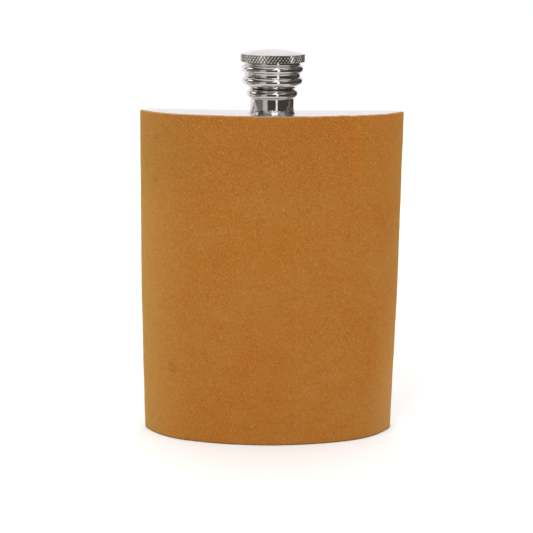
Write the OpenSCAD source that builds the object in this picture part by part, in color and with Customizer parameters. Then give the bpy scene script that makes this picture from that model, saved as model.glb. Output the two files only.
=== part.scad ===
// Hip flask: a soldered pewter body with a kidney-shaped plan, a stitched leather sleeve,
// a turned neck collar with a screw thread, and a beaded screw cap with a knurled crown.
// The origin is on the resting face, on the neck's axis. The front faces -Y and the hollow back faces +Y.

/* [Body] */
// Width over the leather
body_w = 95; // [79:0.5:114]
// Depth over the leather, from the middle of the front to the rearmost point of the sides
body_d = 23.6; // [22.5:0.1:29]
// Height from the resting face to the top of the top plate
body_h = 121.4; // [60:0.2:180]
// How far the back curves in at its middle
back_hollow = 2.4; // [1:0.1:3.2]
// Radius of the shoulder between the front and each end, over the leather
shoulder_r = 28.7; // [20:0.1:30]
// Direction that the outline has turned to where the shoulder meets the end, in degrees
shoulder_turn = 56.5; // [45:0.5:62]
// Radius of each end, over the leather
end_r = 4.7; // [4:0.1:6]
// Thickness of the rolled body wall
wall_t = 1; // [0.7:0.1:1.4]
// Thickness of the top and base plates
plate_t = 1.2; // [0.8:0.1:2]
// Depth of the locating lip on the top and base plates
lip_h = 2; // [1:0.1:4]
// Thickness of the locating lip
lip_t = 0.6; // [0.4:0.1:0.9]
// Gap between a locating lip and the body wall
lip_gap = 0.1; // [0.05:0.05:0.2]

/* [Leather] */
// Thickness of the leather
leather_t = 1.3; // [0.8:0.1:1.6]
// Height of the sleeve's lower edge above the resting face
leather_lift = 0.2; // [0:0.1:1]
// Gap between the two edges of the leather at the back seam
seam_gap = 0.3; // [0.1:0.1:0.8]
// Distance between the two rows of stitch holes
stitch_w = 6; // [4:0.5:9]
// Distance between neighbouring holes of a row
stitch_pitch = 5; // [3.5:0.5:8]
// Smallest distance from a stitch hole to the end of the sleeve
stitch_margin = 4; // [3:0.5:10]
// Diameter of the waxed thread
thread_d = 0.8; // [0.5:0.1:1]
// Radial gap round the thread in its holes
hole_gap = 0.1; // [0.05:0.05:0.2]

/* [Neck] */
// Diameter of the bore that the flask pours through
bore_d = 10; // [7:0.1:11]
// Wall of the spigot, from the bore to the root of its thread
spigot_wall = 1; // [0.7:0.1:1.4]
// Height of the threaded spigot
spigot_h = 6.9; // [5.7:0.1:9]
// Chamfer on the mouth of the spigot
mouth_chamfer = 0.4; // [0.2:0.1:0.6]
// Width of the seat round the foot of the spigot
seat_w = 1.7; // [1.2:0.1:2.4]
// Height of the collar from the top plate to its seat
seat_h = 8.8; // [7:0.1:12]
// How far the collar's bead stands out from the barrel
neck_bead_rise = 1.25; // [0.6:0.05:1.5]
// Radius of the collar's bead in section
neck_bead_r = 1.6; // [1.2:0.1:1.7]
// Distance from the seat down to the middle of the bead
neck_bead_drop = 1.7; // [1.7:0.1:2.5]
// Wall of the tenon that passes through the top plate
tenon_wall = 1.5; // [1:0.1:1.9]
// Radial gap round the tenon in the plate's hole
tenon_gap = 0.05; // [0.03:0.01:0.1]
// How far the flange swaged over under the plate reaches past the tenon
flange_w = 0.7; // [0.4:0.1:1.2]
// Thickness of the swaged flange
flange_t = 0.8; // [0.5:0.1:1.2]
// Radial gap between the flange and the top plate's lip
flange_gap = 0.2; // [0.1:0.05:0.3]
// Width of the solder fillet round the foot of the collar
fillet_w = 0.8; // [0.5:0.1:0.9]
// Height of the solder fillet
fillet_h = 1.8; // [1:0.1:2.4]

/* [Thread] */
// Rise of the thread in one turn
thread_pitch = 2; // [1.8:0.1:2.4]
// Height of the ridge on the spigot
ridge_h = 0.6; // [0.5:0.05:0.7]
// Radial gap between each ridge and the root that it faces
root_gap = 0.15; // [0.1:0.05:0.2]
// Gap along the axis between the flanks of the two ridges
flank_gap = 0.15; // [0.1:0.05:0.2]
// Width of a ridge at its crest
crest_w = 0.5; // [0.46:0.02:0.6]
// Angle over which a ridge fades in and out at its ends, in degrees
fade_turn = 60; // [30:5:90]

/* [Cap] */
// Wall of the thread insert, behind the root of its thread
insert_wall = 0.8; // [0.5:0.1:1.2]
// Wall of the skirt between its beads
skirt_wall = 2.15; // [1.8:0.05:3]
// Width of the skirt's flat underside
underside_w = 1.45; // [1.3:0.05:2]
// Thickness of the lip under the thread insert
skirt_lip_t = 0.4; // [0.3:0.1:0.6]
// Radius of both of the skirt's beads in section
bead_r = 1.45; // [1.2:0.05:1.5]
// How far the upper bead stands out from the skirt
upper_bead_rise = 1.1; // [0.5:0.05:1.3]
// How far the lower bead stands out from the skirt
lower_bead_rise = 0.85; // [0.5:0.05:1.3]
// Distance from the underside up to the middle of the lower bead
lower_bead_z = 2.55; // [1.6:0.05:2.8]
// Distance from the crown down to the middle of the upper bead
upper_bead_drop = 2.35; // [2:0.05:3.5]
// How far the knurled crown overhangs the skirt
crown_overhang = 1.45; // [1.2:0.05:2]
// Height of the knurled rim
rim_h = 2.65; // [1.9:0.05:3]
// Rise of the domed top above the rim
dome_h = 1.5; // [0.5:0.1:3]
// How far the edge of the dome is set in from the rim
dome_step = 0.4; // [0.35:0.05:0.8]
// Number of knurl grooves each way round the rim
knurl_n = 58; // [40:1:80]
// Depth of the knurl grooves that lean to the right
knurl_depth = 0.25; // [0.15:0.05:0.4]
// Depth of the knurl grooves that lean to the left
knurl_back_depth = 0.16; // [0.1:0.02:0.34]
// Slant of the knurl grooves from the axis, in degrees
knurl_slant = 38; // [25:1:45]
// Height of the boss under the crown
boss_h = 1; // [0.6:0.1:2]
// Thickness of the sealing liner
liner_t = 1.2; // [0.8:0.1:2]
// Radial gap round the loose liner
liner_gap = 0.2; // [0.1:0.05:0.3]
// Radial gap of the crown's boss and the thread insert in the skirt
press_gap = 0.05; // [0.03:0.01:0.1]
// Gap between the skirt's underside and the collar's seat when the liner is down
cap_gap = 0.15; // [0.1:0.05:0.4]

/* [Hidden] */
$fn = 96;

pewter = [0.80, 0.79, 0.78];
solder = [0.72, 0.71, 0.70];
tan_leather = [0.70, 0.45, 0.18];
waxed_thread = [0.86, 0.74, 0.52];
liner_white = [0.93, 0.92, 0.88];
insert_white = [0.90, 0.90, 0.86];

overlap = 0.2;          // how far a cutter runs past the face it opens

// Plan outline: arcs that run smoothly into each other. y is 0 half way through the middle of the body.
mid_d = body_d - back_hollow;
front_y = -mid_d / 2;
end_x = body_w / 2 - end_r;
end_y = front_y + body_d - end_r;
shoulder_x = end_x - (shoulder_r - end_r) * sin(shoulder_turn);
shoulder_y = end_y + (shoulder_r - end_r) * cos(shoulder_turn);
shoulder_back = shoulder_y - front_y;
front_r = (pow(shoulder_x, 2) + pow(shoulder_back, 2) - pow(shoulder_r, 2))
          / (2 * (shoulder_back - shoulder_r));
front_turn = asin(shoulder_x / (front_r - shoulder_r));
back_r = (pow(end_x, 2) + pow(mid_d / 2 - end_y, 2) - pow(end_r, 2)) / (2 * back_hollow);
back_turn = asin(end_x / (back_r + end_r));
back_steps = 5;

// Set-in of the locating lips from the leather's face
lip_inset = leather_t + wall_t + lip_gap;

// Neck radii
bore_r = bore_d / 2;
spigot_r = bore_r + spigot_wall;
barrel_r = spigot_r + seat_w;
tenon_r = bore_r + tenon_wall;
flange_r = tenon_r + flange_w;

// Heights
seat_z = body_h + seat_h;
spigot_top = seat_z + spigot_h;
cap_z = seat_z + cap_gap;
liner_z = spigot_top;
boss_z = liner_z + liner_t;
crown_z = boss_z + boss_h;
lip_top_z = cap_z + skirt_lip_t;

// Thread: the ridge inside the cap runs half a turn's rise above the ridge on the spigot
ridge_r = spigot_r + ridge_h;
inner_ridge_r = spigot_r + root_gap;
insert_bore_r = ridge_r + root_gap;
foot_w = (thread_pitch - 2 * flank_gap - crest_w * (1 + root_gap / ridge_h)) / (1 - root_gap / ridge_h);
ridge_sink = 0.06;      // depth in the wall at which a ridge's flanks end
ridge_bury = 0.2;       // depth in the wall at which a ridge itself ends
ridge_steps = 40;       // facets in one turn

// Cap radii
insert_r = insert_bore_r + insert_wall;
cap_bore_r = insert_r + press_gap;
skirt_r = cap_bore_r + skirt_wall;
crown_r = skirt_r + crown_overhang;

// ---- plan outline ----

// Points on an arc round centre c, from turn t0 to turn t1, where turn 0 points to the front
function arc(c, r, t0, t1, n) =
    [for (i = [0:n]) let (t = t0 + (t1 - t0) * i / n) c + r * [sin(t), -cos(t)]];

// Right half of the outline, set in from the leather's face by the same amount all round
function half_outline(inset) = concat(
    arc([0, front_y + front_r], front_r - inset, 0, front_turn, 9),
    slice(arc([shoulder_x, shoulder_y], shoulder_r - inset, front_turn, shoulder_turn, 10)),
    slice(arc([end_x, end_y], end_r - inset, shoulder_turn, 180 + back_turn, 16)),
    slice(arc([0, mid_d / 2 + back_r], back_r + inset, back_turn, 0, back_steps)));

// A list without its first entry
function slice(list) = [for (i = [1:len(list) - 1]) list[i]];

module outline(inset) {
    right = half_outline(inset);
    left = [for (i = [len(right) - 2:-1:1]) [-right[i].x, right[i].y]];
    polygon(concat(right, left));
}

module band(outer_inset, inner_inset, h) {
    linear_extrude(h)
        difference() {
            outline(outer_inset);
            outline(inner_inset);
        }
}

// ---- helical ridge ----

// Section of a ridge at turn a, from low to high. way is 1 when it stands out and -1 when it stands in.
function ridge_ring(wall_r, crest_r, way, a, z) = [
    for (p = [[wall_r - way * ridge_bury, -foot_w / 2], [wall_r - way * ridge_sink, -foot_w / 2],
              [crest_r, -crest_w / 2], [crest_r, crest_w / 2],
              [wall_r - way * ridge_sink, foot_w / 2], [wall_r - way * ridge_bury, foot_w / 2]])
        [p.x * cos(a), p.x * sin(a), z + p.y]];

// Ridge from turn a0 to turn a1, rising one pitch a turn from z at turn 0.
// It fades into the wall at both ends.
module ridge(wall_r, crest_r, z, a0, a1) {
    way = crest_r > wall_r ? 1 : -1;
    steps = ceil((a1 - a0) * ridge_steps / 360);
    rings = [for (i = [0:steps]) let (
        a = a0 + (a1 - a0) * i / steps,
        fade = min(1, (a - a0) / fade_turn, (a1 - a) / fade_turn),
        tip = wall_r + (crest_r - wall_r) * (0.1 + 0.9 * fade))
        ridge_ring(wall_r, tip, way, a, z + thread_pitch * a / 360)];
    sides = [for (i = [0:steps - 1], k = [0:5]) let (p = 6 * i + k, q = 6 * i + (k + 1) % 6)
        each way > 0 ? [[p, q, q + 6], [p, q + 6, p + 6]] : [[p, q + 6, q], [p, p + 6, q + 6]]];
    first = [0, 1, 2, 3, 4, 5];
    last = [for (k = first) 6 * steps + k];
    ends = way > 0 ? [backwards(first), last] : [first, backwards(last)];
    polyhedron([for (ring = rings) each ring], concat(sides, ends));
}

function backwards(list) = [for (i = [len(list) - 1:-1:0]) list[i]];

// ---- body ----

module body_wall() color(pewter) {
    translate([0, 0, plate_t])
        band(leather_t, leather_t + wall_t, body_h - 2 * plate_t);
}

// A plate that caps the wall, with its lip hanging below it
module lipped_plate() {
    linear_extrude(plate_t) outline(leather_t);
    translate([0, 0, -lip_h])
        band(lip_inset, lip_inset + lip_t, lip_h + plate_t / 2);
}

module top_plate() color(pewter) {
    difference() {
        translate([0, 0, body_h - plate_t]) lipped_plate();
        translate([0, 0, body_h - plate_t - overlap])
            cylinder(r = tenon_r + tenon_gap, h = plate_t + 2 * overlap);
        translate([0, 0, body_h - plate_t - lip_h - overlap])
            cylinder(r = flange_r + flange_gap, h = lip_h + overlap);
    }
}

module base_plate() color(pewter) {
    translate([0, 0, plate_t]) mirror([0, 0, 1]) lipped_plate();
}

// ---- leather ----

stitch_rows = floor((body_h - leather_lift - 2 * stitch_margin) / stitch_pitch);
stitch_z0 = (body_h + leather_lift - stitch_rows * stitch_pitch) / 2;
back_face_y = mid_d / 2 + stitch_w / 2 * tan(back_turn / back_steps / 2);
thread_y = back_face_y + thread_d / 2;

module leather_sleeve() color(tan_leather) {
    difference() {
        translate([0, 0, leather_lift]) band(0, leather_t, body_h - leather_lift);
        translate([-seam_gap / 2, 0, 0]) cube([seam_gap, body_d, body_h + overlap]);
        for (side = [-1, 1], i = [0:stitch_rows])
            translate([side * stitch_w / 2, mid_d / 2 - leather_t - overlap, stitch_z0 + i * stitch_pitch])
                rotate([-90, 0, 0])
                    cylinder(d = thread_d + 2 * hole_gap, h = leather_t + back_hollow);
    }
}

// One straight pass of thread between two points
module pass(from, to) {
    run = to - from;
    translate(from)
        rotate([0, acos(run.z / norm(run)), atan2(run.y, run.x)])
            cylinder(d = thread_d, h = norm(run), $fn = 8);
}

module sleeve_stitching() color(waxed_thread) {
    leg = leather_t - hole_gap;
    for (side = [-1, 1], i = [0:stitch_rows])
        translate([side * stitch_w / 2, back_face_y - leg, stitch_z0 + i * stitch_pitch])
            rotate([-90, 0, 0]) cylinder(d = thread_d, h = leg + 0.8 * thread_d, $fn = 8);
    for (side = [-1, 1], i = [0:stitch_rows - 1]) {
        low = stitch_z0 + i * stitch_pitch;
        pass([side * stitch_w / 2, thread_y, low],
             [-side * stitch_w / 2, thread_y, low + stitch_pitch]);
    }
}

// ---- neck ----

module neck_collar() color(pewter) {
    translate([0, 0, body_h])
        rotate_extrude()
            difference() {
                union() {
                    translate([0, -plate_t - flange_t]) square([flange_r, flange_t]);
                    translate([0, -plate_t - flange_t / 2]) square([tenon_r, plate_t + flange_t]);
                    square([barrel_r, seat_h]);
                    translate([barrel_r + neck_bead_rise - neck_bead_r, seat_h - neck_bead_drop])
                        circle(neck_bead_r);
                    polygon([[0, seat_h - overlap], [spigot_r, seat_h - overlap],
                             [spigot_r, seat_h + spigot_h - mouth_chamfer],
                             [spigot_r - mouth_chamfer, seat_h + spigot_h],
                             [0, seat_h + spigot_h]]);
                }
                translate([0, -plate_t - flange_t - overlap])
                    square([bore_r, seat_h + spigot_h + plate_t + flange_t + 2 * overlap]);
            }
    ridge(spigot_r, ridge_r, ridge_low, 0, (ridge_high - ridge_low) / thread_pitch * 360);
}

// First and last heights of the spigot's ridge at its middle
ridge_low = seat_z + foot_w / 2 + 0.2;
ridge_high = spigot_top - mouth_chamfer - foot_w / 2 - 0.1;

// A hollow arc from the plate up to the collar, almost in line with the collar's wall where it meets it
module neck_solder_fillet() color(solder) {
    edge = 0.05;        // thickness of the fillet's thin edges
    run = fillet_w - edge;
    rise = fillet_h - edge;
    chord = norm([run, rise]);
    half_turn = 0.85 * atan(run / rise);
    arc_r = chord / 2 / sin(half_turn);
    out = arc_r * cos(half_turn) / chord;
    translate([0, 0, body_h])
        rotate_extrude()
            translate([barrel_r, 0])
                difference() {
                    square([fillet_w, fillet_h]);
                    translate([(fillet_w + edge) / 2 + out * rise, (fillet_h + edge) / 2 + out * run])
                        circle(arc_r);
                }
}

// ---- cap ----

module cap_liner() color(liner_white) {
    translate([0, 0, liner_z])
        cylinder(r = cap_bore_r - liner_gap, h = liner_t);
}

module cap_skirt() color(pewter) {
    skirt_h = crown_z - cap_z;
    translate([0, 0, cap_z])
        rotate_extrude()
            difference() {
                union() {
                    polygon([[0, 0], [insert_bore_r + underside_w, 0],
                             [skirt_r, lower_bead_z], [skirt_r, skirt_h], [0, skirt_h]]);
                    translate([skirt_r + lower_bead_rise - bead_r, lower_bead_z]) circle(bead_r);
                    translate([skirt_r + upper_bead_rise - bead_r, skirt_h - upper_bead_drop]) circle(bead_r);
                }
                translate([0, -overlap])
                    square([insert_bore_r, skirt_lip_t + 2 * overlap]);
                translate([0, skirt_lip_t])
                    square([cap_bore_r, skirt_h]);
            }
}

module cap_crown() color(pewter) {
    dome_r = (pow(crown_r, 2) + pow(dome_h, 2)) / (2 * dome_h);
    difference() {
        translate([0, 0, crown_z]) {
            cylinder(r = crown_r, h = rim_h);
            translate([0, 0, -boss_h])
                cylinder(r = cap_bore_r - press_gap, h = boss_h + rim_h / 2);
            translate([0, 0, rim_h + dome_h - dome_r])
                intersection() {
                    sphere(dome_r, $fn = 200);
                    translate([0, 0, dome_r - dome_h - rim_h / 2])
                        cylinder(r = crown_r - dome_step, h = dome_h + rim_h);
                }
        }
        knurl_grooves();
    }
}

// Square bars laid across the rim both ways, each cutting a V groove
module knurl_grooves() {
    bar = 4 * knurl_depth;
    for (groove = [[-1, knurl_depth], [1, knurl_back_depth]], i = [0:knurl_n - 1])
        rotate([0, 0, i * 360 / knurl_n])
            translate([crown_r - groove[1] + bar * sqrt(0.5), 0, crown_z + rim_h / 2])
                rotate([groove[0] * knurl_slant, 0, 0])
                    rotate([0, 0, 45])
                        cube([bar, bar, 4 * rim_h], center = true);
}

module cap_thread_insert() color(insert_white) {
    h = liner_z - lip_top_z;
    translate([0, 0, lip_top_z])
        difference() {
            cylinder(r = insert_r, h = h);
            translate([0, 0, -overlap]) cylinder(r = insert_bore_r, h = h + 2 * overlap);
        }
    helix_z = ridge_low + thread_pitch / 2;
    low = lip_top_z + foot_w / 2 + 0.1;
    high = liner_z - foot_w / 2 - 0.1;
    ridge(insert_bore_r, inner_ridge_r, helix_z,
          (low - helix_z) / thread_pitch * 360, (high - helix_z) / thread_pitch * 360);
}

body_wall();
top_plate();
base_plate();
neck_collar();
neck_solder_fillet();
leather_sleeve();
sleeve_stitching();
cap_liner();
cap_skirt();
cap_crown();
cap_thread_insert();
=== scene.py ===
import math

import bpy
import numpy as np
from mathutils import Matrix, Vector


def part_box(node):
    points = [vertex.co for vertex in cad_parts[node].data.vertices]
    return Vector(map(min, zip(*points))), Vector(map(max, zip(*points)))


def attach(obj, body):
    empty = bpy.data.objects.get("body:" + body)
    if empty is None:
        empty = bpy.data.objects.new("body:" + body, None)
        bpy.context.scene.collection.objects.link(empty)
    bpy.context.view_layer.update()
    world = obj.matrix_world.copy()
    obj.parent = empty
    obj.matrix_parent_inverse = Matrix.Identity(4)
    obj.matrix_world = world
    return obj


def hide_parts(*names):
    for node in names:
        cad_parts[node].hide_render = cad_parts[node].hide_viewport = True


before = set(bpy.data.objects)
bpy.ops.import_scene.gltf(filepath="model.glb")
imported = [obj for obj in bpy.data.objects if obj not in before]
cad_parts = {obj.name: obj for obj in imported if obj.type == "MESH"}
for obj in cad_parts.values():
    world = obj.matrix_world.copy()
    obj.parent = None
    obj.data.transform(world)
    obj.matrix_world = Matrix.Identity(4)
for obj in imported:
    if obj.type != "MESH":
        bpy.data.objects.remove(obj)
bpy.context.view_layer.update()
MM = 0.001

# ---------------------------------------------------------------- sizes in millimetres
# They are the CAD source's, except that the solder fillet is narrower here, the thread of the stitching is
# thinner, and the knurl has its own numbers.

BODY_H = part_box("top_plate")[1].z / MM
SLEEVE_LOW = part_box("leather_sleeve")[0].z / MM
SLEEVE_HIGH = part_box("leather_sleeve")[1].z / MM
BODY_W = (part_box("leather_sleeve")[1].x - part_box("leather_sleeve")[0].x) / MM
BODY_D = 23.6
BACK_HOLLOW = 2.4
SHOULDER_R = 28.7
SHOULDER_TURN = math.radians(56.5)
END_R = 4.7
LEATHER_T = 1.3
SEAM_GAP = 0.3
STITCH_W = 6.0
STITCH_PITCH = 5.0
STITCH_MARGIN = 4.0

SEAT_H = 8.8
SPIGOT_H = 6.9
BORE_R = 5.0
SPIGOT_R = 6.0
BARREL_R = 7.7
TENON_R = 6.5
FLANGE_R = 7.2
FLANGE_T = 0.8
PLATE_T = 1.2
THREAD_PITCH = 2.0
RIDGE_H = 0.6
RIDGE_FOOT = 1.4333
RIDGE_CREST = 0.5
RIDGE_FADE = math.radians(60)
CHAMFER = 0.4
FILLET_W = 0.5
FILLET_H = 1.8
SEAT_Z = BODY_H + SEAT_H
SPIGOT_TOP = SEAT_Z + SPIGOT_H
RIDGE_LOW = SEAT_Z + RIDGE_FOOT / 2 + 0.2
RIDGE_HIGH = SPIGOT_TOP - CHAMFER - RIDGE_FOOT / 2 - 0.1

CAP_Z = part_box("cap_skirt")[0].z / MM
CROWN_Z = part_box("cap_skirt")[1].z / MM
CAP_BORE_R = 7.6
INSERT_BORE_R = 6.75
SKIRT_LIP = 0.4
SKIRT_R = 9.75
BEAD_R = 1.45
UPPER_BEAD_RISE = 1.1
LOWER_BEAD_RISE = 0.85
LOWER_BEAD_Z = CAP_Z + 2.55
UPPER_BEAD_Z = CROWN_Z - 2.35
UNDERSIDE_R = 8.2
CROWN_R = 11.2
RIM_H = 2.65
DOME_H = 1.5
BOSS_R = CAP_BORE_R - 0.05
BOSS_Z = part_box("cap_crown")[0].z / MM
KNURL_N = 58
KNURL_STEPS = 16           # columns to each groove
KNURL_HALF = (7, 4)        # half-width of the two sets of grooves, in columns
KNURL_SLOPE = 0.72
KNURL_SLANT = math.radians(38)


# ---------------------------------------------------------------- smooth, repeatable unevenness

def wave_set(count, dims, low, high, seed):
    """Random plane waves: directions, frequencies and phases, for wobble()."""
    r = np.random.default_rng(seed)
    k = r.normal(size=(count, dims))
    k /= np.linalg.norm(k, axis=1)[:, None]
    k *= (2 * np.pi / np.exp(r.uniform(np.log(low), np.log(high), count)))[:, None]
    return k, r.uniform(0, 2 * np.pi, count)


def wobble(points, waves):
    """Smooth noise of about unit size at points, from a wave_set."""
    k, phase = waves
    total = np.zeros(points.shape[:-1])
    for direction, p in zip(k, phase):
        total += np.cos(points @ direction + p)
    return total * math.sqrt(2 / len(phase))


def smoothstep(x, a, b):
    """0 up to a, 1 from b on, and a smooth rise between."""
    t = np.clip((x - a) / (b - a), 0, 1)
    return t * t * (3 - 2 * t)


# ---------------------------------------------------------------- mesh helpers

def make_object(name, verts, faces, materials, face_slots=None, sharp_angle=None):
    """A smooth-shaded mesh object from points in millimetres. Edges over sharp_angle degrees are sharp."""
    mesh = bpy.data.meshes.new(name)
    mesh.from_pydata([tuple(v) for v in np.asarray(verts) * MM], [], faces)
    mesh.validate()
    mesh.polygons.foreach_set("use_smooth", [True] * len(mesh.polygons))
    if face_slots is not None:
        mesh.polygons.foreach_set("material_index", face_slots)
    if sharp_angle is not None:
        mesh.set_sharp_from_angle(angle=math.radians(sharp_angle))
    mesh.update()
    obj = bpy.data.objects.new(name, mesh)
    bpy.context.scene.collection.objects.link(obj)
    for m in materials:
        mesh.materials.append(m)
    return obj


def ring_grid(rows, cols):
    """Quads of a grid that closes on itself both ways: rows go round the section, cols round the axis."""
    faces = []
    for i in range(rows):
        a, b = i * cols, (i + 1) % rows * cols
        for j in range(cols):
            k = (j + 1) % cols
            faces.append((a + j, a + k, b + k, b + j))
    return faces


def lathe_points(section, cols, shape=None):
    """Points of a section (r, z) turned about Z. shape(theta, r, z) may change the radius and height."""
    theta = np.arange(cols) * 2 * np.pi / cols
    r = np.repeat(np.array([p[0] for p in section])[:, None], cols, 1)
    z = np.repeat(np.array([p[1] for p in section])[:, None], cols, 1)
    t = np.repeat(theta[None, :], len(section), 0)
    if shape:
        r, z = shape(t, r, z)
    return np.stack([r * np.cos(t), r * np.sin(t), z], -1)


def turned_ring(name, section, cols, material, shape=None, sharp=None):
    """A closed ring turned from a closed section, listed anticlockwise in (r, z)."""
    points = lathe_points(section, cols, shape).reshape(-1, 3)
    return make_object(name, points, ring_grid(len(section), cols), [material], sharp_angle=sharp)


# ---------------------------------------------------------------- node helpers

class Nodes:
    """Short ways to add shader nodes to one material or world."""

    def __init__(self, tree):
        self.tree = tree
        self.tree.nodes.clear()

    def add(self, kind, inputs=None, **settings):
        node = self.tree.nodes.new(kind)
        for k, v in settings.items():
            setattr(node, k, v)
        for k, v in (inputs or {}).items():
            if isinstance(v, bpy.types.NodeSocket):
                self.tree.links.new(v, node.inputs[k])
            else:
                node.inputs[k].default_value = v
        return node

    def link(self, a, b):
        self.tree.links.new(a, b)

    def math(self, op, a, b=0.0, c=0.0, clamp=False):
        return self.add("ShaderNodeMath", {0: a, 1: b, 2: c}, operation=op, use_clamp=clamp).outputs[0]

    def noise(self, vector, size_mm, detail=2.0, rough=0.5, distortion=0.0):
        """Noise whose largest features are about that many millimetres across."""
        node = self.add("ShaderNodeTexNoise", {"Vector": vector, "Scale": 1000.0 / size_mm, "Detail": detail,
                                               "Roughness": rough, "Distortion": distortion})
        return node.outputs["Fac"]

    def stretch(self, vector, scale, turn=(0, 0, 0)):
        return self.add("ShaderNodeMapping", {"Vector": vector, "Scale": scale, "Rotation": turn}).outputs[0]

    def range(self, value, a, b, c=0.0, d=1.0, kind="SMOOTHSTEP"):
        return self.add("ShaderNodeMapRange", {"Value": value, "From Min": a, "From Max": b, "To Min": c,
                                               "To Max": d}, interpolation_type=kind).outputs[0]

    def mix(self, fac, a, b):
        """A colour between a and b. Sockets 6 and 7 in, and 2 out, are a mix node's colours."""
        node = self.add("ShaderNodeMix", data_type="RGBA", blend_type="MIX", clamp_result=False)
        for socket, v in ((node.inputs[0], fac), (node.inputs[6], a), (node.inputs[7], b)):
            if isinstance(v, bpy.types.NodeSocket):
                self.tree.links.new(v, socket)
            else:
                socket.default_value = v if isinstance(v, (int, float)) else (*v[:3], 1.0)
        return node.outputs[2]

    def bump(self, height, distance, strength=1.0, normal=None):
        inputs = {"Height": height, "Distance": distance, "Strength": strength}
        if normal is not None:
            inputs["Normal"] = normal
        return self.add("ShaderNodeBump", inputs).outputs[0]


def material(name):
    """A new material with its nodes, its shader and its object coordinates."""
    m = bpy.data.materials.new(name)
    m.use_nodes = True
    n = Nodes(m.node_tree)
    shader = n.add("ShaderNodeBsdfPrincipled")
    out = n.add("ShaderNodeOutputMaterial")
    n.link(shader.outputs[0], out.inputs[0])
    where = n.add("ShaderNodeTexCoord").outputs["Object"]
    return m, n, shader, where


# ---------------------------------------------------------------- materials

def leather_material():
    """Matt vegetable-tanned leather: a fine nap over drifting patches of rust and straw, with a few dark spots,
    faint growth lines at the upper right, and zones: painted light makes the left side more yellow and the
    lower right corner lighter, painted shade darkens the upper left, and the upper middle is redder. Zone edges
    are in metres."""
    m, n, s, where = material("tan_leather")
    rust, tan, straw = (0.300, 0.090, 0.0058), (0.303, 0.103, 0.0097), (0.302, 0.116, 0.0175)
    painted_light_left, painted_shade_shoulder, painted_light_corner = (0.365, 0.182, 0.0400), (0.240, 0.098, 0.0125), (0.430, 0.178, 0.0470)
    redder, vein_tone, spot_tone = (0.270, 0.083, 0.0078), (0.350, 0.096, 0.0020), (0.225, 0.072, 0.0100)
    nap_light, nap_dark, strand_tone = (0.400, 0.220, 0.0600), (0.230, 0.048, 0.0020), (0.270, 0.068, 0.0050)
    patch_offset = (0.3, 0.1, 0.2)
    pore_mm = 0.5

    upright = n.stretch(where, (1.0, 1.0, 0.5), (0, math.radians(6), 0))
    leaning = n.stretch(where, (1.0, 1.0, 0.36), (0, math.radians(-4), 0))
    drift = n.noise(where, 26, 3, 0.55, 0.6)
    patch = n.noise(n.add("ShaderNodeVectorMath", {0: where, 1: patch_offset}).outputs[0], 9, 3, 0.6)
    nap = n.noise(upright, 0.27, 3, 0.75)
    strand = n.noise(leaning, 0.5, 3, 0.65)
    spot = n.noise(where, 5.5, 1, 0.4)
    parts = n.add("ShaderNodeSeparateXYZ", {0: where}).outputs
    x, z = parts[0], parts[2]

    colour = n.mix(n.range(drift, 0.50, 0.70), n.mix(n.range(drift, 0.30, 0.50), rust, tan), straw)
    colour = n.mix(n.range(patch, 0.50, 0.72, 0.0, 0.55), colour, straw)
    colour = n.mix(n.range(patch, 0.28, 0.48, 0.55, 0.0), colour, rust)
    uneven = n.math("ADD", x, n.math("MULTIPLY", n.math("SUBTRACT", drift, 0.5), 0.020))
    # Masks: painted light on the left side and on the lower right corner, painted shade at the upper left.
    left = n.range(uneven, -0.026, -0.048)
    right = n.math("MULTIPLY", n.range(x, 0.035, 0.047), n.range(z, 0.085, 0.010))
    shaded = n.math("MULTIPLY", n.range(uneven, -0.018, -0.034), n.range(z, 0.084, 0.106))
    # Painted light makes the left side lighter and more yellow and the lower right corner lighter; painted
    # shade darkens the upper left.
    colour = n.mix(n.math("MULTIPLY", left, 0.58), colour, painted_light_left)
    colour = n.mix(n.math("MULTIPLY", shaded, 0.50), colour, painted_shade_shoulder)
    colour = n.mix(n.math("MULTIPLY", right, 0.42), colour, painted_light_corner)
    high = n.math("MULTIPLY", n.range(z, 0.080, 0.118), n.range(n.math("ABSOLUTE", x), 0.040, 0.012))
    colour = n.mix(n.math("MULTIPLY", high, 0.45), colour, redder)

    lines = n.noise(n.stretch(where, (1.0, 1.0, 0.07), (0, math.radians(13), 0)), 7, 1, 0.4)
    vein = n.range(n.math("ABSOLUTE", n.math("SUBTRACT", lines, 0.5)), 0.0, 0.026, 1.0, 0.0)
    upper_right = n.math("MULTIPLY", n.range(uneven, 0.008, 0.018), n.range(z, 0.068, 0.095))
    vein = n.math("MULTIPLY", vein, n.math("MULTIPLY", upper_right, n.range(uneven, 0.042, 0.034)))
    colour = n.mix(n.math("MULTIPLY", vein, 0.55), colour, vein_tone)
    colour = n.mix(n.range(spot, 0.64, 0.82, 0.0, 0.45), colour, spot_tone)

    colour = n.mix(n.range(nap, 0.48, 0.66, 0.0, 0.62), colour, nap_light)
    colour = n.mix(n.range(nap, 0.32, 0.48, 0.60, 0.0), colour, nap_dark)
    colour = n.mix(n.range(strand, 0.48, 0.72, 0.0, 0.30), colour, strand_tone)
    n.link(colour, s.inputs["Base Color"])
    n.link(n.range(nap, 0.3, 0.7, 0.74, 0.94), s.inputs["Roughness"])
    grain = n.math("ADD", n.math("MULTIPLY", nap, 0.6), n.math("MULTIPLY", strand, 0.4))
    pores = n.add("ShaderNodeTexVoronoi", {"Vector": upright, "Scale": 1000 / pore_mm}).outputs["Distance"]
    fine = n.bump(grain, 0.00007, 0.7)
    n.link(n.bump(pores, 0.00003, 0.4, fine), s.inputs["Normal"])
    s.inputs["Specular IOR Level"].default_value = 0.14
    s.inputs["Sheen Weight"].default_value = 0.38
    s.inputs["Sheen Roughness"].default_value = 0.42
    s.inputs["Sheen Tint"].default_value = (0.85, 0.95, 0.30, 1)
    return m


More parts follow.
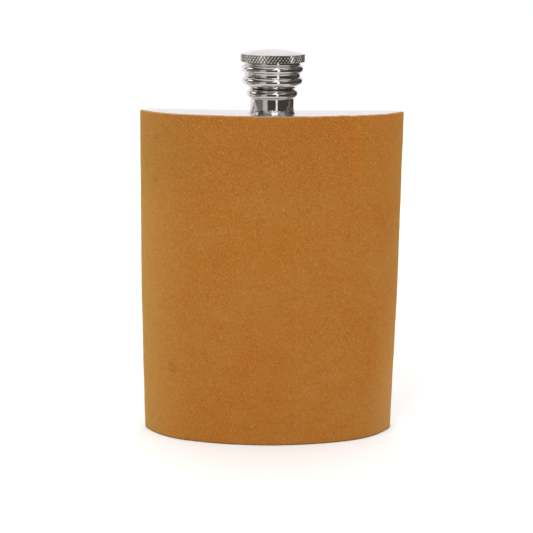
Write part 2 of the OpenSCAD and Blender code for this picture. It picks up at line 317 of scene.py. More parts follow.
def leather_edge_material(name, light, dark):
    """A cut edge of the leather: short upright fibres between a light and a dark tone."""
    m, n, s, where = material(name)
    fibre = n.noise(n.stretch(where, (0.6, 0.6, 1.6)), 0.5, 4, 0.7)
    patch = n.noise(where, 4, 2)
    colour = n.mix(n.range(fibre, 0.35, 0.7), dark, light)
    colour = n.mix(n.range(patch, 0.4, 0.7, 0.0, 0.35), colour, dark)
    n.link(colour, s.inputs["Base Color"])
    n.link(n.range(fibre, 0.3, 0.7, 0.75, 0.95), s.inputs["Roughness"])
    n.link(n.bump(fibre, 0.00012, 0.8), s.inputs["Normal"])
    s.inputs["Specular IOR Level"].default_value = 0.2
    return m


def pewter_material(name, colour, rough, waviness, wave_mm, scratch=0.25, clouding=0.88):
    """Polished pewter: soft waves left from casting and buffing, fine hairlines and faint clouding."""
    m, n, s, where = material(name)
    s.inputs["Metallic"].default_value = 1.0
    cloud = n.noise(where, 5, 3, 0.6)
    dark = tuple(c * clouding for c in colour)
    n.link(n.mix(n.range(cloud, 0.35, 0.7), colour, dark), s.inputs["Base Color"])
    hair = n.noise(n.stretch(where, (1.0, 1.0, 14.0), (0.2, 0.1, 0)), 1.6, 2, 0.6)
    rub = n.math("ADD", n.math("MULTIPLY", cloud, 0.6), n.math("MULTIPLY", hair, 0.4))
    n.link(n.range(rub, 0.3, 0.7, *rough), s.inputs["Roughness"])
    wave = n.noise(where, wave_mm, 1.5, 0.4)
    cast = n.bump(wave, 0.00006, waviness)
    n.link(n.bump(hair, 0.000006, scratch, cast), s.inputs["Normal"])
    return m


def knurled_material():
    """Pewter with mottled painted shade in the bottoms of the knurl and bright crests, told apart by their
    radius.
    """
    bottom_depth, crest_depth = 0.21, 0.05
    deep_groove_shade, pale_groove_shade, crest = (0.30, 0.285, 0.27), (0.46, 0.44, 0.42), (0.84, 0.825, 0.80)
    m, n, s, where = material("knurled_pewter")
    s.inputs["Metallic"].default_value = 1.0
    parts = n.add("ShaderNodeSeparateXYZ", {0: where}).outputs
    square = n.math("ADD", n.math("MULTIPLY", parts[0], parts[0]), n.math("MULTIPLY", parts[1], parts[1]))
    radius = n.math("SQRT", square)
    on_crest = n.range(radius, (CROWN_R - bottom_depth) * MM, (CROWN_R - crest_depth) * MM)
    # This noise only mottles the painted groove shade and bumps the surface.
    grime = n.noise(where, 1.2, 3, 0.6)
    # Painted shade in the knurl's bottoms, with the crests in bright pewter.
    groove_shade = n.mix(n.range(grime, 0.3, 0.7), deep_groove_shade, pale_groove_shade)
    n.link(n.mix(on_crest, groove_shade, crest), s.inputs["Base Color"])
    n.link(n.range(on_crest, 0.0, 1.0, 0.24, 0.13), s.inputs["Roughness"])
    n.link(n.bump(grime, 0.00001, 0.5), s.inputs["Normal"])
    return m


def solder_material():
    """Lumpy solder, brighter and smoother in some places than in others."""
    bright, dull = (0.74, 0.72, 0.69), (0.55, 0.53, 0.50)
    m, n, s, where = material("bright_solder")
    s.inputs["Metallic"].default_value = 1.0
    lump = n.noise(where, 1.4, 3, 0.6)
    n.link(n.mix(n.range(lump, 0.3, 0.7), bright, dull), s.inputs["Base Color"])
    n.link(n.range(lump, 0.3, 0.7, 0.1, 0.3), s.inputs["Roughness"])
    n.link(n.bump(lump, 0.00012, 0.7), s.inputs["Normal"])
    return m


def thread_material():
    """Waxed linen thread with grime in places."""
    m, n, s, where = material("waxed_thread")
    fibre = n.noise(where, 0.25, 3, 0.65)
    grime = n.noise(where, 6, 2)
    colour = n.mix(n.range(fibre, 0.35, 0.68), (0.62, 0.47, 0.26), (0.78, 0.64, 0.42))
    colour = n.mix(n.range(grime, 0.45, 0.7, 0.0, 0.4), colour, (0.42, 0.28, 0.13))
    n.link(colour, s.inputs["Base Color"])
    n.link(n.range(fibre, 0.3, 0.7, 0.45, 0.65), s.inputs["Roughness"])
    n.link(n.bump(fibre, 0.00004, 0.6), s.inputs["Normal"])
    s.inputs["Sheen Weight"].default_value = 0.15
    return m


def plastic_material(name, colour, rough):
    """Slightly clouded plastic or foam."""
    m, n, s, where = material(name)
    cloud = n.noise(where, 3, 3, 0.6)
    fine = n.noise(where, 0.4, 2)
    n.link(n.mix(n.range(cloud, 0.35, 0.7), colour, tuple(c * 0.9 for c in colour)), s.inputs["Base Color"])
    n.link(n.range(cloud, 0.3, 0.7, rough, rough + 0.15), s.inputs["Roughness"])
    n.link(n.bump(fine, 0.00001, 0.4), s.inputs["Normal"])
    s.inputs["Subsurface Weight"].default_value = 0.08
    s.inputs["Subsurface Scale"].default_value = 0.001
    return m


LEATHER = leather_material()
RAW_EDGE = leather_edge_material("leather_raw_edge", (0.52, 0.31, 0.155), (0.36, 0.185, 0.075))
# The lower edge's dark tone is partly a burnished edge and partly a painted contact shadow.
DARK_EDGE = leather_edge_material("leather_burnished_edge_and_painted_shadow", (0.17, 0.07, 0.022), (0.085, 0.034, 0.012))
CAP_METAL = pewter_material("polished_pewter_cap", (0.80, 0.785, 0.76), (0.05, 0.12), 0.35, 2.6)
KNURL_METAL = knurled_material()
NECK_METAL = pewter_material("polished_pewter_neck", (0.78, 0.765, 0.745), (0.05, 0.12), 0.6, 2.2)
PLATE_METAL = pewter_material("polished_pewter_plate", (0.84, 0.83, 0.825), (0.20, 0.27), 0.12, 8.0,
                              clouding=0.965)
BODY_METAL = pewter_material("rolled_pewter", (0.62, 0.60, 0.58), (0.22, 0.36), 0.5, 7.0, 0.5)
SOLDER = solder_material()
THREAD = thread_material()
INSERT_PLASTIC = plastic_material("insert_plastic", (0.80, 0.79, 0.74), 0.38)
LINER_PLASTIC = plastic_material("liner_foam", (0.84, 0.83, 0.78), 0.5)


# ---------------------------------------------------------------- plan outline of the body

def plan_outline():
    """Samples of the outline from the back seam's right edge, round the front, to its left edge.
    Gives points on the leather's face, outward normals and distances along, all in millimetres."""
    mid_d = BODY_D - BACK_HOLLOW
    front_y = -mid_d / 2
    end_x, end_y = BODY_W / 2 - END_R, front_y + BODY_D - END_R
    sh_x = end_x - (SHOULDER_R - END_R) * math.sin(SHOULDER_TURN)
    sh_y = end_y + (SHOULDER_R - END_R) * math.cos(SHOULDER_TURN)
    deep = sh_y - front_y
    front_r = (sh_x ** 2 + deep ** 2 - SHOULDER_R ** 2) / (2 * (deep - SHOULDER_R))
    front_turn = math.asin(sh_x / (front_r - SHOULDER_R))
    back_r = (end_x ** 2 + (mid_d / 2 - end_y) ** 2 - END_R ** 2) / (2 * BACK_HOLLOW)
    back_turn = math.asin(end_x / (back_r + END_R))
    seam_turn = math.asin(SEAM_GAP / 2 / back_r)
    strip = 2.2                                         # how far the fine columns go on past the stitches
    near = math.asin((STITCH_W / 2 + strip) / back_r)
    arcs = [  # centre, radius, first and last turn, 1 where the face is outside the arc or -1 inside it, step
        ((0, mid_d / 2 + back_r), back_r, seam_turn, near, -1, 0.32),
        ((0, mid_d / 2 + back_r), back_r, near, back_turn, -1, 0.9),
        ((end_x, end_y), END_R, math.pi + back_turn, SHOULDER_TURN, 1, 0.42),
        ((sh_x, sh_y), SHOULDER_R, SHOULDER_TURN, front_turn, 1, 0.8),
        ((0, front_y + front_r), front_r, front_turn, 0, 1, 0.9),
    ]
    points, normals = [], []
    for (cx, cy), r, t0, t1, side, step in arcs:
        n = max(2, math.ceil(abs(t1 - t0) * r / step))
        for i in range(0 if not points else 1, n + 1):
            t = t0 + (t1 - t0) * i / n
            d = np.array([math.sin(t), -math.cos(t)])
            points.append(np.array([cx, cy]) + r * d)
            normals.append(side * d)
    p, q = np.array(points), np.array(normals)
    p = np.vstack([p, p[-2::-1] * [-1, 1]])
    q = np.vstack([q, q[-2::-1] * [-1, 1]])
    along = np.concatenate([[0], np.cumsum(np.linalg.norm(np.diff(p, axis=0), axis=1))])
    return p, q, along


# ---------------------------------------------------------------- leather sleeve and its stitching

STITCH_ROWS = math.floor((BODY_H - SLEEVE_LOW - 2 * STITCH_MARGIN) / STITCH_PITCH)
STITCH_Z0 = (BODY_H + SLEEVE_LOW - STITCH_ROWS * STITCH_PITCH) / 2
THREAD_R = 0.37
THREAD_SINK = 0.16
PULL_DEPTH, PULL_W = 0.20, 0.55         # the trough that each thread presses into the leather
HOLE_DEPTH, HOLE_W = 0.55, 0.62         # the pit round each stitch hole
PASSES = [(side, STITCH_Z0 + i * STITCH_PITCH) for side in (-1, 1) for i in range(STITCH_ROWS)]


def pull_of_thread(x, z):
    """How far the thread draws the leather in at a point of the back, in millimetres."""
    depth = np.zeros_like(x)
    for side, low in PASSES:
        ax, az = side * STITCH_W / 2, low
        bx, bz = -side * STITCH_W / 2, low + STITCH_PITCH
        dx, dz = bx - ax, bz - az
        t = np.clip(((x - ax) * dx + (z - az) * dz) / (dx * dx + dz * dz), 0, 1)
        away = np.hypot(x - ax - t * dx, z - az - t * dz)
        depth = np.maximum(depth, PULL_DEPTH * np.exp(-(away / PULL_W) ** 2))
    hole = np.zeros_like(x)
    for side in (-1, 1):
        for i in range(STITCH_ROWS + 1):
            away = np.hypot(x - side * STITCH_W / 2, z - STITCH_Z0 - i * STITCH_PITCH)
            hole = np.maximum(hole, HOLE_DEPTH * np.exp(-(away / HOLE_W) ** 2))
    return np.maximum(depth, hole)


def build_sleeve():
    """The sheet wrapped round the body and butted at the back. Returns it and its length round the outline."""
    plan, normal, along = plan_outline()
    cols = len(plan)
    lip, lip_steps = 0.32, 4                # the outer edges are rounded over
    inner_lip = 0.12                        # the inner ones are only chamfered
    fine = STITCH_PITCH / 9
    rows_z = [SLEEVE_LOW + lip]
    while rows_z[-1] < SLEEVE_HIGH - lip - fine * 0.6:
        rows_z.append(rows_z[-1] + fine)
    rows_z[-1] = SLEEVE_HIGH - lip
    profile = [(0.0, z) for z in rows_z]    # depth in the leather, and height
    for k in range(1, lip_steps + 1):
        a = math.pi / 2 * k / lip_steps
        profile.append((lip * (1 - math.cos(a)), SLEEVE_HIGH - lip + lip * math.sin(a)))
    profile += [(0.55, SLEEVE_HIGH), (0.8, SLEEVE_HIGH), (LEATHER_T - inner_lip, SLEEVE_HIGH),
                (LEATHER_T, SLEEVE_HIGH - inner_lip), (LEATHER_T, SLEEVE_LOW + inner_lip),
                (LEATHER_T - inner_lip, SLEEVE_LOW), (0.7, SLEEVE_LOW)]
    for k in range(1, lip_steps):
        a = math.pi / 2 * k / lip_steps
        profile.append((lip * (1 - math.sin(a)), SLEEVE_LOW + lip * (1 - math.cos(a))))
    rows = len(profile)
    depth = np.array([p[0] for p in profile])[:, None] * np.ones(cols)[None, :]
    z = np.array([p[1] for p in profile])[:, None] * np.ones(cols)[None, :]
    x0 = plan[:, 0][None, :] * np.ones(rows)[:, None]
    y0 = plan[:, 1][None, :] * np.ones(rows)[:, None]
    skin = np.clip(1 - depth / LEATHER_T, 0, 1)         # 1 on the outer face, 0 on the inner one
    here = np.stack([x0, y0, z], -1)

    slow, quick = 0.055, 0.014              # gentle waves in the face, in millimetres
    bulge, upper_left, lower_right, ease = 0.26, 0.34, 0.38, 0.05
    swell = slow * wobble(here, wave_set(26, 3, 14, 46, 3)) + quick * wobble(here, wave_set(30, 3, 3.0, 7.0, 4))
    middle = 1 - (2 * (z - SLEEVE_LOW) / (SLEEVE_HIGH - SLEEVE_LOW) - 1) ** 2
    swell += bulge * middle * smoothstep(np.abs(x0), 30, 47)
    swell -= ease
    swell -= upper_left * smoothstep(-x0, 20, 44) * smoothstep(z, 60, SLEEVE_HIGH)
    swell -= lower_right * smoothstep(x0, 20, 44) * smoothstep(-z, -75, 0)

    back = (y0 > 0) & (np.abs(x0) < STITCH_W)
    drawn = np.where(back, pull_of_thread(x0, z), 0)
    from_seam = np.minimum(along, along[-1] - along)[None, :] * np.ones(rows)[:, None]
    round_r = 0.3                           # the seam's edges are rounded over too
    drop = round_r - np.sqrt(np.maximum(0, round_r ** 2 - (round_r - from_seam) ** 2))
    fall = np.where(from_seam < round_r, drop, 0)
    shift = skin * (swell - drawn - fall)

    ragged = 0.05 * wobble(here, wave_set(16, 3, 2.0, 9.0, 5))
    edge_h = 0.9                            # how far from a cut edge its unevenness reaches
    top = smoothstep(z, SLEEVE_HIGH - edge_h, SLEEVE_HIGH)
    low = 1 - smoothstep(z, SLEEVE_LOW, SLEEVE_LOW + edge_h)
    back_drop = 0.42 * smoothstep(y0, 6.5, 10.0)        # the edge was pared a little lower round the back
    right_rise = 0.2 * smoothstep(x0, 0, 30)            # and left a little higher at the right
    z = z + (ragged - 0.05 - back_drop + right_rise) * top + (np.abs(ragged) - 0.14) * low
    out = shift - depth
    verts = np.stack([x0 + normal[:, 0] * out, y0 + normal[:, 1] * out, z], -1).reshape(-1, 3)

    first_top = len(rows_z)                 # strips: outer face, top edge, inner face, lower edge
    inner = first_top + lip_steps + 3
    faces, slots = [], []
    for i in range(rows):
        k = (i + 1) % rows
        slot = 2 if i > inner else 1 if first_top <= i < inner else 0
        for j in range(cols - 1):
            faces.append((i * cols + j, k * cols + j, k * cols + j + 1, i * cols + j + 1))
            slots.append(slot)
    faces.append(tuple(i * cols for i in range(rows - 1, -1, -1)))
    faces.append(tuple(i * cols + cols - 1 for i in range(rows)))
    slots += [1, 1]
    sleeve = make_object("leather_sleeve_wrap", verts, faces, [LEATHER, RAW_EDGE, DARK_EDGE], slots)
    return sleeve, along[-1]


def build_stitching():
    """One thread for each slanted pass over the seam. It dives into a hole at each end, and one set of passes
    rides over the other where they cross."""
    verts, faces = [], []
    around, lengthwise = 14, 26
    overrun = 0.16                          # the path goes on past its holes, as a share of the pass
    dive_from, dive_run, dive = 0.12, 0.28, 3.3
    cross_w, cross_over, cross_under = 0.17, 0.44, -0.07
    ply, ply_turn = 0.11, 3.6               # three plies, and their turn in radians a millimetre
    back_bend = 0.0013                      # half the curvature of the back's face
    plan_mid = (BODY_D - BACK_HOLLOW) / 2
    for side, low in PASSES:
        a = np.array([side * STITCH_W / 2, low])
        b = np.array([-side * STITCH_W / 2, low + STITCH_PITCH])
        path = []
        for s in np.linspace(-overrun, 1 + overrun, lengthwise):
            flat = a + (b - a) * min(max(s, 0.0), 1.0)
            end = min(s, 1 - s)
            height = THREAD_R - THREAD_SINK
            if end < dive_from:
                height -= dive * ((dive_from - end) / dive_run) ** 2
            mid = math.exp(-((s - 0.5) / cross_w) ** 2)
            height += (cross_over if side > 0 else cross_under) * mid
            path.append((flat[0], plan_mid + height + back_bend * flat[0] ** 2, flat[1]))
        path = np.array(path)
        tangent = np.gradient(path, axis=0)
        tangent /= np.linalg.norm(tangent, axis=1)[:, None]
        travelled = np.concatenate([[0], np.cumsum(np.linalg.norm(np.diff(path, axis=0), axis=1))])
        base = len(verts)
        for i, (p, t) in enumerate(zip(path, tangent)):
            u = np.cross(t, [0, 1, 0.02])
            u /= np.linalg.norm(u)
            v = np.cross(t, u)
            for k in range(around):
                f = 2 * math.pi * k / around
                r = THREAD_R * (1 + ply * math.cos(3 * f + travelled[i] * ply_turn + low))
                verts.append(p + r * (math.cos(f) * u + math.sin(f) * v))
        for i in range(lengthwise - 1):
            for k in range(around):
                q = (k + 1) % around
                faces.append((base + i * around + k, base + (i + 1) * around + k,
                              base + (i + 1) * around + q, base + i * around + q))
        faces.append(tuple(base + k for k in range(around)))
        last = base + (lengthwise - 1) * around
        faces.append(tuple(last + k for k in range(around - 1, -1, -1)))
    return make_object("sleeve_thread", verts, faces, [THREAD])


# ---------------------------------------------------------------- neck

def thread_shape(t, r, z):
    """Raises the right-hand ridge on the spigot's wall."""
    total = (RIDGE_HIGH - RIDGE_LOW) / THREAD_PITCH * 2 * np.pi
    lift = np.zeros_like(r)
    for k in range(-1, 5):
        a = t + 2 * np.pi * k
        off = np.abs(z - (RIDGE_LOW + THREAD_PITCH * a / (2 * np.pi)))
        fade = np.clip(np.minimum(a, total - a) / RIDGE_FADE, 0, 1)
        flank = np.clip((RIDGE_FOOT / 2 - off) / ((RIDGE_FOOT - RIDGE_CREST) / 2), 0, 1)
        flank = flank * flank * (3 - 2 * flank) * 0.35 + flank * 0.65
        lift = np.maximum(lift, RIDGE_H * flank * fade)
    on_wall = (np.abs(r - SPIGOT_R) < 0.01) & (z > SEAT_Z + 0.05)
    return np.where(on_wall, r + lift, r), z


def build_collar():
    """The collar: flange and tenon under the plate, barrel, bead, and the spigot with its ridge."""
    bead_r, bead_rise, bead_drop = 1.6, 1.25, 1.7
    bead_from, bead_turn, bead_steps = -72, 150, 26     # degrees
    cove_h, cove_steps = 0.35, 5
    flat_step, ridge_step = 0.4, 0.085      # rows on the plain barrel and on the ridged spigot
    flange_z = BODY_H - PLATE_T - FLANGE_T
    bead_x = BARREL_R + bead_rise - bead_r
    bead_z = SEAT_Z - bead_drop
    bead = []                               # from below to above
    for k in range(bead_steps + 1):
        a = math.radians(bead_from + bead_turn * k / bead_steps)
        bead.append((bead_x + bead_r * math.cos(a), bead_z + bead_r * math.sin(a)))
    foot_z = bead[0][1]
    join = (BARREL_R, foot_z - cove_h)
    cove = []                               # from the barrel into the bead
    for k in range(1, cove_steps):
        f = k / cove_steps
        cove.append((BARREL_R + (bead[0][0] - BARREL_R) * f ** 2, join[1] + cove_h * f))
    section = [(BORE_R, flange_z), (FLANGE_R - 0.15, flange_z), (FLANGE_R, flange_z + 0.15),
               (FLANGE_R, BODY_H - PLATE_T), (TENON_R, BODY_H - PLATE_T), (TENON_R, BODY_H), (BARREL_R, BODY_H)]
    section += [(BARREL_R, BODY_H + h) for h in np.arange(flat_step, foot_z - 0.36 - BODY_H, flat_step)]
    section += [join] + cove + bead
    section += [(BARREL_R - 0.25, SEAT_Z - 0.02), (BARREL_R - 0.6, SEAT_Z), (SPIGOT_R + 0.12, SEAT_Z),
                (SPIGOT_R, SEAT_Z + 0.1)]
    top = SPIGOT_TOP - CHAMFER
    section += [(SPIGOT_R, z) for z in np.arange(SEAT_Z + 0.18, top - 0.04, ridge_step)]
    section += [(SPIGOT_R, top), (SPIGOT_R - CHAMFER + 0.08, SPIGOT_TOP - 0.03),
                (SPIGOT_R - CHAMFER, SPIGOT_TOP), (BORE_R + 0.15, SPIGOT_TOP), (BORE_R, SPIGOT_TOP - 0.15)]
    return turned_ring("neck_collar_turned", section, 160, NECK_METAL, thread_shape, sharp=38)


def build_fillet():
    """The uneven bead of solder that ran round the collar's foot."""
    cols, steps = 200, 14
    theta = np.arange(cols) * 2 * np.pi / cols
    tuck = 0.04                             # the ring goes this far into the barrel, so that no gap shows
    ring = np.stack([np.cos(theta), np.sin(theta)], -1) * BARREL_R
    lump = 0.55 * wobble(ring, wave_set(14, 2, 2.4, 9.0, 11))
    lump = lump + 0.3 * wobble(ring, wave_set(14, 2, 1.0, 2.2, 12))
    high = FILLET_H * (0.93 + 0.15 * np.clip(lump, -1.7, 1.2))
    wide = FILLET_W * (0.95 + 0.07 * np.clip(wobble(ring, wave_set(12, 2, 2.5, 8, 13)), -1.5, 1.5))
    belly = 0.30 + 0.12 * np.clip(wobble(ring, wave_set(12, 2, 1.6, 6, 14)), -1.6, 1.6)
    rows = [(BARREL_R + wide, BODY_H + 0 * wide)]
    for k in range(1, steps):
        f = k / steps
        sink = belly * math.sin(math.pi * f) * (0.8 + 0.2 * math.cos(2 * math.pi * f))
        rows.append((BARREL_R + wide * ((1 - f) * (1 - sink)), BODY_H + high * (f * (1 - 0.55 * sink))))
    rows.append((BARREL_R + 0 * wide, BODY_H + high))
    rows.append((BARREL_R - tuck + 0 * wide, BODY_H + high))
    rows.append((BARREL_R - tuck + 0 * wide, BODY_H + 0 * high))
    verts = []
    for r, z in rows:
        verts += list(zip(r * np.cos(theta), r * np.sin(theta), z))
    return make_object("neck_solder_ring", verts, ring_grid(len(rows), cols), [SOLDER])


# ---------------------------------------------------------------- cap

def arc_points(cx, cz, r, a0, a1, n):
    """n equal steps along an arc, both ends included."""
    return [(cx + r * math.cos(a0 + (a1 - a0) * k / n), cz + r * math.sin(a0 + (a1 - a0) * k / n))
            for k in range(n + 1)]


def cove_between(low, high, sink):
    """A shallow hollow from one point up to another, listed without its ends."""
    out = []
    for k in range(1, 9):
        f = k / 9
        r = low[0] + (high[0] - low[0]) * f - sink * math.sin(math.pi * f)
        out.append((r, low[1] + (high[1] - low[1]) * f))
    return out


def build_skirt():
    """The cap's barrel: a lip that holds the insert, two beads with a groove between them, and a short neck."""
    bead_end, bead_foot, bead_steps = math.radians(62), math.radians(50), 26
    groove_sink, neck_sink, foot_swell, ease = 0.16, 0.12, 0.12, 0.08
    lower = (SKIRT_R + LOWER_BEAD_RISE - BEAD_R, LOWER_BEAD_Z)
    upper = (SKIRT_R + UPPER_BEAD_RISE - BEAD_R, UPPER_BEAD_Z)
    low_bead = arc_points(*lower, BEAD_R, -bead_foot, bead_end, bead_steps)
    high_bead = arc_points(*upper, BEAD_R, -bead_end, bead_end, bead_steps)
    groove = cove_between(low_bead[-1], high_bead[0], groove_sink)
    neck_top = (SKIRT_R - 0.1, CROWN_Z)
    neck = cove_between(high_bead[-1], neck_top, neck_sink)
    section = [(INSERT_BORE_R, CAP_Z + ease), (INSERT_BORE_R + ease, CAP_Z), (UNDERSIDE_R - 0.25, CAP_Z),
               (UNDERSIDE_R, CAP_Z + ease)]
    section += cove_between(section[-1], low_bead[0], -foot_swell)
    section += low_bead + groove + high_bead + neck
    section += [neck_top, (CAP_BORE_R, CROWN_Z), (CAP_BORE_R, CAP_Z + SKIRT_LIP)]
    section.append((INSERT_BORE_R, CAP_Z + SKIRT_LIP))
    return turned_ring("cap_skirt_turned", section, 192, CAP_METAL, sharp=38)


def knurl_depth_at(theta, z):
    """Depth of the two sets of V grooves at a place on the rim."""
    depth = np.zeros_like(theta)
    pitch = 2 * np.pi * CROWN_R / KNURL_N
    for way, half in ((-1, KNURL_HALF[0]), (1, KNURL_HALF[1])):
        shift = theta * CROWN_R + way * (z - CROWN_Z - RIM_H / 2) * math.tan(KNURL_SLANT)
        across = np.abs((shift / pitch + 0.5) % 1 - 0.5) * pitch
        reach = half * pitch / KNURL_STEPS
        depth = np.maximum(depth, (reach - across) * math.cos(KNURL_SLANT) * KNURL_SLOPE)
    return depth


def build_crown():
    """The boss and domed disc. Its columns and rows lie on the knurl's lines, so that every crest is sharp, and
    each cell of the rim is split along the diagonal that fits the grooves better."""
    cols = KNURL_N * KNURL_STEPS
    dome_r = (CROWN_R ** 2 + DOME_H ** 2) / (2 * DOME_H)
    top = CROWN_Z + RIM_H
    edge = 0.2                              # radius of the rim's two edges
    inset = 0.012                           # the first and last rows of the rim stop this far short
    step = 2 * math.pi * CROWN_R / cols / math.tan(KNURL_SLANT)

    def dome(r):
        return top + DOME_H - dome_r + math.sqrt(dome_r ** 2 - r ** 2)

    def rim(z):
        low, high = z - CROWN_Z, top - z
        gap = min(low, high)
        return CROWN_R - (edge - math.sqrt(max(0, edge ** 2 - (edge - gap) ** 2)) if gap < edge else 0)

    half = int((RIM_H / 2 - 0.03) / step)
    middle_z = [CROWN_Z + RIM_H / 2 + step * k for k in range(-half, half + 1)]
    rim_z = [CROWN_Z + inset] + middle_z + [top - inset]
    band = [(rim(z), z) for z in rim_z]
    section = [(BOSS_R - 0.12, BOSS_Z), (BOSS_R, BOSS_Z + 0.12), (BOSS_R, CROWN_Z),
               (SKIRT_R + 0.2, CROWN_Z), (CROWN_R - 0.5, CROWN_Z)]
    first = len(section)
    section += band
    last = len(section)
    section += [(CROWN_R - 0.36, dome(CROWN_R - 0.36) - 0.02), (CROWN_R - 0.5, dome(CROWN_R - 0.5))]

    def shape(t, r, z):
        cut = CROWN_R - np.maximum(0, knurl_depth_at(t, z))
        rows = np.zeros(r.shape, bool)
        rows[first:last] = True
        return np.where(rows, np.minimum(r, cut), r), z

    points = lathe_points(section, cols, shape)
    verts = [tuple(p) for p in points.reshape(-1, 3)]
    faces, slots = [], []
    radius = np.hypot(points[..., 0], points[..., 1])
    theta = np.arange(cols) * 2 * np.pi / cols
    for i in range(len(section) - 1):
        a, b = i * cols, (i + 1) * cols
        for j in range(cols):
            k = (j + 1) % cols
            if first <= i < last - 1:
                z_mid = (section[i][1] + section[i + 1][1]) / 2
                want = CROWN_R - max(0.0, float(knurl_depth_at(np.array(theta[j] + math.pi / cols), z_mid)))
                rise = (radius[i, j] + radius[i + 1, k]) / 2
                fall = (radius[i, k] + radius[i + 1, j]) / 2
                if abs(rise - want) < abs(fall - want):
                    faces += [(a + j, a + k, b + k), (a + j, b + k, b + j)]
                else:
                    faces += [(a + j, a + k, b + j), (a + k, b + k, b + j)]
                slots += [1, 1]
            else:
                faces.append((a + j, a + k, b + k, b + j))
                slots.append(0)
    coarse = KNURL_N * 2
    ratio = cols // coarse
    inner = [CROWN_R - 0.8] + list(np.linspace(CROWN_R - 1.3, 0.6, 20))
    base = len(verts)
    for r in inner:
        verts += [(r * math.cos(2 * math.pi * j / coarse), r * math.sin(2 * math.pi * j / coarse), dome(r))
                  for j in range(coarse)]
    outer = (len(section) - 1) * cols
    for j in range(coarse):
        fan = [outer + (j * ratio + m) % cols for m in range(ratio + 1)]
        faces.append(tuple(fan + [base + (j + 1) % coarse, base + j]))
    for i in range(len(inner) - 1):
        a, b = base + i * coarse, base + (i + 1) * coarse
        for j in range(coarse):
            k = (j + 1) % coarse
            faces.append((a + j, a + k, b + k, b + j))
    tip, under = len(verts), len(verts) + 1
    verts += [(0, 0, dome(0)), (0, 0, BOSS_Z)]
    last_ring = base + (len(inner) - 1) * coarse
    for j in range(coarse):
        faces.append((tip, last_ring + j, last_ring + (j + 1) % coarse))
    for j in range(cols):
        faces.append((under, (j + 1) % cols, j))
    slots += [0] * (len(faces) - len(slots))
    return make_object("cap_crown_knurled", verts, faces, [CAP_METAL, KNURL_METAL], slots, sharp_angle=14)


sleeve, sleeve_length = build_sleeve()
stitching = build_stitching()
collar = build_collar()
fillet = build_fillet()
skirt = build_skirt()
crown = build_crown()

for piece, node, body, slot in (
    (sleeve, "leather_sleeve", "flask", "tan_leather"),
    (stitching, "sleeve_stitching", "flask", "waxed_thread"),
    (collar, "neck_collar", "flask", "pewter_polished"),
    (fillet, "neck_solder_fillet", "flask", "solder"),
    (skirt, "cap_skirt", "cap", "pewter_polished"),
    (crown, "cap_crown", "cap", "pewter_polished"),
):
    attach(piece, body)
    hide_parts(node)

for node, mat in (
    ("body_wall", BODY_METAL),
    ("base_plate", BODY_METAL),
    ("top_plate", PLATE_METAL),
    ("cap_thread_insert", INSERT_PLASTIC),
    ("cap_liner", LINER_PLASTIC),
):
    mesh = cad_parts[node].data
    mesh.materials.clear()
    mesh.materials.append(mat)


# ---------------------------------------------------------------- floor, light and camera

def build_floor():
    """A wide pale floor just under the flask, hidden from reflections."""
    light, dark = (0.90, 0.90, 0.90), (0.88, 0.88, 0.88)
    m, n, s, where = material("pale_floor")
    tone = n.noise(where, 180, 3)
    n.link(n.mix(n.range(tone, 0.3, 0.7), light, dark), s.inputs["Base Color"])
    s.inputs["Roughness"].default_value = 0.9
    s.inputs["Specular IOR Level"].default_value = 0.1
    size = 30.0
    mesh = bpy.data.meshes.new("floor")
    z = -0.00003
    corners = [(-size, -size, z), (size, -size, z), (size, size, z), (-size, size, z)]
    mesh.from_pydata(corners, [], [(0, 1, 2, 3)])
    mesh.materials.append(m)
    floor = bpy.data.objects.new("floor", mesh)
    bpy.context.scene.collection.objects.link(floor)
    floor.visible_glossy = False


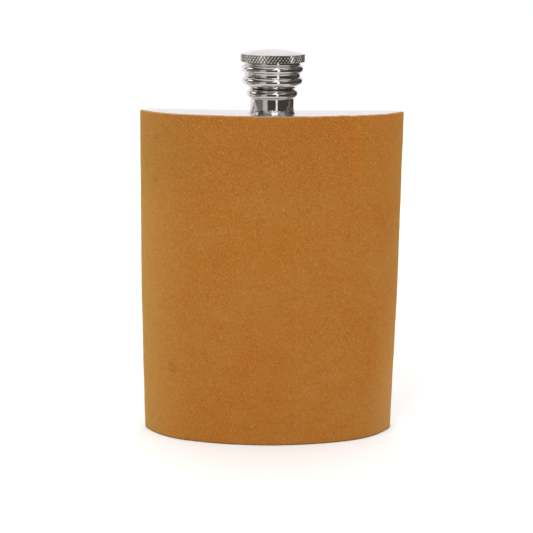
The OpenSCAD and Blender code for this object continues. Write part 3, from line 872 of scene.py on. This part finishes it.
def build_world():
    """An even white room for the camera and for all that isn't a mirror. What polished metal mirrors is a
    studio: white walls and ceiling, a warmer floor, dark panels round the front, and lamps. Angles are in
    degrees: turn is 0 in front and grows to the right, rise is 0 at the horizon and grows upwards."""
    world = bpy.data.worlds.new("studio")
    bpy.context.scene.world = world
    world.use_nodes = True
    n = Nodes(world.node_tree)
    where = n.add("ShaderNodeTexCoord").outputs["Generated"]
    x, y, z = n.add("ShaderNodeSeparateXYZ", {0: where}).outputs
    turn = n.math("DEGREES", n.math("ARCTAN2", x, n.math("MULTIPLY", y, -1.0)))
    rise = n.math("DEGREES", n.math("ARCSINE", z))

    def band(value, low, high, soft):
        """1 between low and high, 0 outside, with soft edges."""
        a = n.range(value, low - soft, low + soft)
        b = n.range(value, high - soft, high + soft, 1.0, 0.0)
        return n.math("MULTIPLY", a, b)

    def grey(v):
        return (v, v * 0.985, v * 0.965)

    white, below, dark = (0.97, 0.925, 0.94), (0.80, 0.765, 0.70), (0.060, 0.054, 0.050)
    streak = n.noise(n.add("ShaderNodeCombineXYZ", {0: n.math("MULTIPLY", turn, 0.00012)}).outputs[0], 0.9, 2)
    streaky = n.mix(n.range(streak, 0.3, 0.7), (0.085, 0.076, 0.068), (0.29, 0.27, 0.25))
    walls = n.mix(band(rise, -95, -36, 5), white, below)
    left_side = n.math("MULTIPLY", band(turn, -126, 20, 3), band(rise, -38, 50, 3))
    right_side = n.math("MULTIPLY", band(turn, 5, 148, 3), band(rise, -38, 50, 3))
    colour = n.mix(n.math("MAXIMUM", left_side, right_side), walls, dark)
    panels = (  # colour, turn from and to, rise from and to, softness of the upright and the level edges
        (white, -150, -105, -38, 0, 2.0, 3),
        (streaky, -105, -51, -36, 6, 2.0, 2.0),
        (streaky, -119, -100, -21, -9, 2.0, 2.0),
        (grey(0.55), -50, -26, -36, 6, 2.5, 2.0),
        (grey(0.62), -38, 60, 12, 24, 4, 3),
        (grey(0.12), 76, 148, 14, 40, 5, 5),
        (grey(0.42), 42, 78, 24, 44, 5, 4),
        (grey(1.25), -116, -86, 10, 34, 3, 4),
    )
    slanted_lamp, strip_lamp = grey(1.7), (grey(1.3), 18, 26, -36, 14, 1.2, 3)

    def add_panel(under, tone, t0, t1, r0, r1, soft_t, soft_r):
        window = n.math("MULTIPLY", band(turn, t0, t1, soft_t), band(rise, r0, r1, soft_r))
        return n.mix(window, under, tone)

    for panel in panels:
        colour = add_panel(colour, *panel)
    lamp_low, lamp_high = 12, 58            # a tall lamp that narrows and leans to the right as it rises
    half = n.range(rise, lamp_low, lamp_high, 15, 1.5, "LINEAR")
    middle = n.range(rise, lamp_low, lamp_high, 11, 19, "LINEAR")
    off = n.math("ABSOLUTE", n.math("SUBTRACT", turn, middle))
    lamp = n.range(n.math("SUBTRACT", half, off), -1.0, 1.0)
    lamp = n.math("MULTIPLY", lamp, band(rise, lamp_low, lamp_high, 2))
    colour = n.mix(lamp, colour, slanted_lamp)
    colour = add_panel(colour, *strip_lamp)

    room = (1.16, 1.16, 1.16)
    glossy = n.add("ShaderNodeLightPath").outputs["Is Glossy Ray"]
    back = n.add("ShaderNodeBackground", {"Color": n.mix(glossy, room, colour), "Strength": 1.0})
    out = n.add("ShaderNodeOutputWorld")
    n.link(back.outputs[0], out.inputs[0])


def area_light(name, place, size, power, colour=(1, 1, 1)):
    """A rectangular lamp aimed at the middle of the flask, seen only by what it lights."""
    lamp = bpy.data.lights.new(name, "AREA")
    lamp.shape = "RECTANGLE"
    lamp.size, lamp.size_y = size
    lamp.energy = power
    lamp.color = colour
    obj = bpy.data.objects.new(name, lamp)
    bpy.context.scene.collection.objects.link(obj)
    obj.location = place
    aim = Vector((0, 0, 0.07)) - Vector(place)
    obj.rotation_mode = "QUATERNION"
    obj.rotation_quaternion = aim.to_track_quat("-Z", "Y")
    obj.visible_glossy = False
    obj.visible_camera = False
    return obj


def build_camera():
    """The photograph's viewpoint: in front, a little above and to the left, and very slightly tilted."""
    sensor_mm, lens_mm = 36.0, 74.1888
    target = np.array([-1.4, 0.0, 65.75]) * MM
    distance = 399.7 * MM
    pitch, yaw, roll = math.radians(14.7), math.radians(-1.04), math.radians(0.584)
    back = np.array([math.sin(yaw) * math.cos(pitch), -math.cos(yaw) * math.cos(pitch), math.sin(pitch)])
    level = np.cross([0, 0, 1], back)
    level /= np.linalg.norm(level)
    upright = np.cross(back, level)
    right = math.cos(roll) * level + math.sin(roll) * upright
    up = -math.sin(roll) * level + math.cos(roll) * upright
    data = bpy.data.cameras.new("camera")
    data.sensor_width = sensor_mm
    data.lens = lens_mm
    data.clip_start, data.clip_end = 0.01, 100
    cam = bpy.data.objects.new("camera", data)
    m = Matrix.Identity(4)
    for i in range(3):
        m[i][0], m[i][1], m[i][2], m[i][3] = right[i], up[i], back[i], target[i] + distance * back[i]
    bpy.context.scene.collection.objects.link(cam)
    cam.matrix_world = m
    bpy.context.scene.camera = cam


build_floor()
build_world()
area_light("key", (-0.55, -0.65, 0.75), (0.6, 0.6), 3.4, (1.0, 0.99, 0.96))
area_light("fill", (0.75, -0.45, 0.45), (0.6, 0.6), 1.2)
build_camera()
bpy.context.scene.view_settings.view_transform = "Standard"
bpy.context.scene.view_settings.look = "None"
